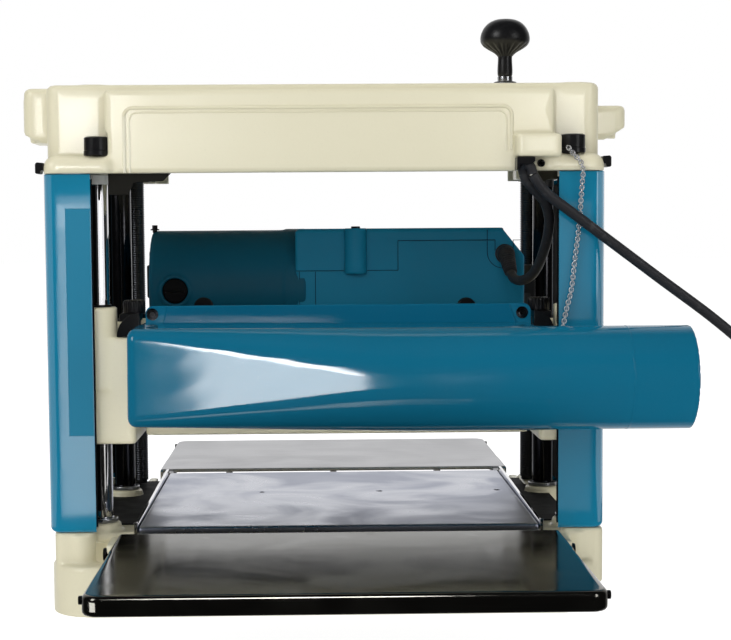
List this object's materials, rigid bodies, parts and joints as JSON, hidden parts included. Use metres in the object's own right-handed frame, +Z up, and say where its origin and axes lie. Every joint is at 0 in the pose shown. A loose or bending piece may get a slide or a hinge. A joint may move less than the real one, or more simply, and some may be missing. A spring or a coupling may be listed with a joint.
{
  "type": "thickness planer",
  "caption": "Bench thickness planer: folding tables, four guide posts, a crank-lifted cutter head with dust hood, and a top casting with carrying grips.",
  "frame": {"origin": "middle of the base casting's underside, under the middle of the main table", "axes": "+X to the right seen from the outfeed end, along the cutterhead; +Y from the outfeed end to the infeed end; +Z up"},
  "size_m": [0.7047, 0.771, 0.4653],
  "materials": {
    "cream_casting": "cream gloss paint on cast aluminium",
    "blue_plastic": "glossy moulded plastic",
    "motor_plastic": "satin moulded plastic",
    "brushed_steel": "brushed",
    "chrome": "polished",
    "dark_steel": "oiled",
    "black_plastic": "fine texture",
    "rubber": "matte",
    "white_plastic": "satin"
  },
  "bodies": {
    "frame": {"base_casting": "cream_casting", "main_table": "brushed_steel", "table_guide_left": "chrome", "table_guide_right": "chrome", "guide_post_near_left": "chrome", "guide_post_near_right": "chrome", "guide_post_far_left": "chrome", "guide_post_far_right": "chrome", "column_cover_near_left": "blue_plastic", "column_cover_near_right": "blue_plastic", "column_cover_far_left": "blue_plastic", "column_cover_far_right": "blue_plastic", "top_frame": "cream_casting", "ledge_cap_left": "black_plastic", "ledge_cap_right": "black_plastic", "side_hook_left": "black_plastic", "side_hook_right": "black_plastic", "cord_clip": "black_plastic", "height_scale": "white_plastic", "switch_box": "black_plastic", "lift_chain": "dark_steel", "hinge_rod_outfeed": "brushed_steel", "hinge_rod_infeed": "brushed_steel", "retaining_chain": "chrome", "power_cord": "rubber", "cord_coil": "rubber", "power_plug": "rubber"},
    "crank": {"crank_arm": "brushed_steel", "lead_screw_right": "dark_steel"},
    "crank_grip": {"crank_knob": "black_plastic"},
    "left_screw": {"lead_screw_left": "dark_steel"},
    "head": {"carriage_left": "cream_casting", "carriage_right": "cream_casting", "head_bridge": "cream_casting", "motor_can": "motor_plastic", "gear_case": "motor_plastic", "belt_cover": "black_plastic", "hood": "blue_plastic", "hood_bracket_left": "black_plastic", "hood_bracket_right": "black_plastic", "brush_cap": "black_plastic", "cord_boot": "rubber", "scale_pointer": "black_plastic", "bearing_left": "chrome", "bearing_right": "chrome", "drive_belt": "rubber", "cord_loop": "rubber"},
    "thumb_left": {"thumb_screw_left": "black_plastic"},
    "thumb_right": {"thumb_screw_right": "black_plastic"},
    "cutterhead": {"cutter_drum": "brushed_steel", "knife_1": "chrome", "knife_2": "chrome"},
    "armature": {"motor_armature": "dark_steel"},
    "infeed_roller": {"feed_roller_infeed": "rubber"},
    "outfeed_roller": {"feed_roller_outfeed": "rubber"},
    "outfeed_table": {"outfeed_table": "brushed_steel"},
    "infeed_table": {"infeed_table": "brushed_steel"},
    "switch": {"switch_rocker": "black_plastic"}
  },
  "joints": [
    {"name": "crank_turn", "type": "hinge", "parent": "frame", "child": "crank", "pos_m": [0.176, 0.108, 0.4016], "axis": [0, 0, 1], "range_deg": [-10260, 17100]},
    {"name": "crank_grip_spin", "type": "hinge", "parent": "crank", "child": "crank_grip", "pos_m": [0.144, 0.01, 0.4183], "axis": [0, 0, 1], "continuous": true},
    {"name": "left_screw_turn", "type": "hinge", "parent": "frame", "child": "left_screw", "pos_m": [-0.176, 0.108, 0.2], "axis": [0, 0, 1], "range_deg": [-10270, 17110]},
    {"name": "head_lift", "type": "slide", "parent": "frame", "child": "head", "axis": [0, 0, 1], "range_m": [-0.0571, 0.0951], "deforming": ["cord_loop"]},
    {"name": "thumb_screw_left_turn", "type": "hinge", "parent": "head", "child": "thumb_left", "pos_m": [-0.156, -0.115, 0.2283], "axis": [0, 0, 1], "continuous": true},
    {"name": "thumb_screw_right_turn", "type": "hinge", "parent": "head", "child": "thumb_right", "pos_m": [0.1555, -0.115, 0.2283], "axis": [0, 0, 1], "continuous": true},
    {"name": "cutterhead_spin", "type": "hinge", "parent": "head", "child": "cutterhead", "pos_m": [0, 0, 0.154], "axis": [1, 0, 0], "continuous": true},
    {"name": "armature_spin", "type": "hinge", "parent": "head", "child": "armature", "pos_m": [0, 0.038, 0.241], "axis": [1, 0, 0], "continuous": true},
    {"name": "infeed_roller_spin", "type": "hinge", "parent": "head", "child": "infeed_roller", "pos_m": [0, 0.045, 0.14], "axis": [1, 0, 0], "continuous": true},
    {"name": "outfeed_roller_spin", "type": "hinge", "parent": "head", "child": "outfeed_roller", "pos_m": [0, -0.045, 0.14], "axis": [1, 0, 0], "continuous": true},
    {"name": "outfeed_table_fold", "type": "hinge", "parent": "frame", "child": "outfeed_table", "pos_m": [0, -0.165, 0.05], "axis": [-1, 0, 0], "range_deg": [0, 45]},
    {"name": "infeed_table_fold", "type": "hinge", "parent": "frame", "child": "infeed_table", "pos_m": [0, 0.165, 0.05], "axis": [1, 0, 0], "range_deg": [0, 90]},
    {"name": "switch_rock", "type": "hinge", "parent": "frame", "child": "switch", "pos_m": [-0.08, 0.178, 0.374], "axis": [1, 0, 0], "range_deg": [-10, 10]}
  ],
  "couplings": [
    {"joint": "left_screw_turn", "follows": "crank_turn", "ratio": 1},
    {"joint": "head_lift", "follows": "crank_turn", "m_per_rad": 0.00031831},
    {"joint": "armature_spin", "follows": "cutterhead_spin", "ratio": 1.1538},
    {"joint": "outfeed_roller_spin", "follows": "infeed_roller_spin", "ratio": 1}
  ]
}
